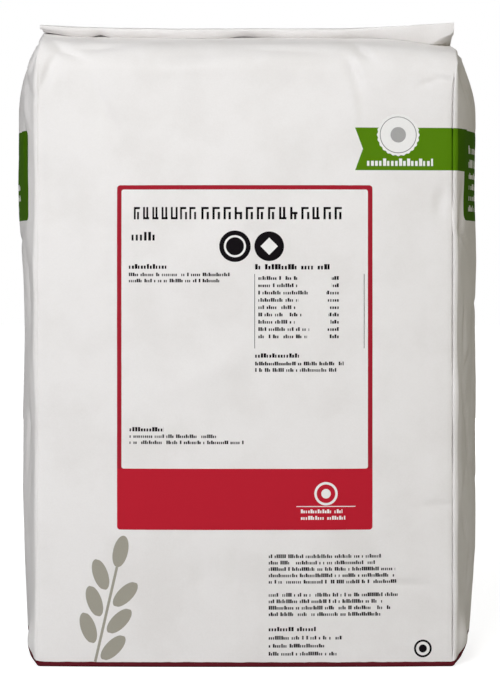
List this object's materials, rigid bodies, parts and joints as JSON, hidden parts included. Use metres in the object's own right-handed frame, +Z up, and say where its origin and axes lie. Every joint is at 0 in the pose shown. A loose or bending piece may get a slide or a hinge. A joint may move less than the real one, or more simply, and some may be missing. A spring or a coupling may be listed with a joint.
{
  "type": "bag of flour",
  "caption": "Upright gusseted paper sack filled with flour, on a flat block base, with its shut mouth folded forwards over a rounded roof.",
  "frame": {"origin": "under the middle of the sack's outer box, at the height of the flat base it stands on", "axes": "+Z up from the base to the folded mouth; the printed front faces -Y; +X is to the right of a viewer who looks at the front"},
  "size_m": [0.3186, 0.16, 0.4364],
  "materials": {
    "paper": "uncoated white sack paper, printed in flat colours"
  },
  "bodies": {
    "root": {"flour_sack": "paper"}
  },
  "joints": []
}
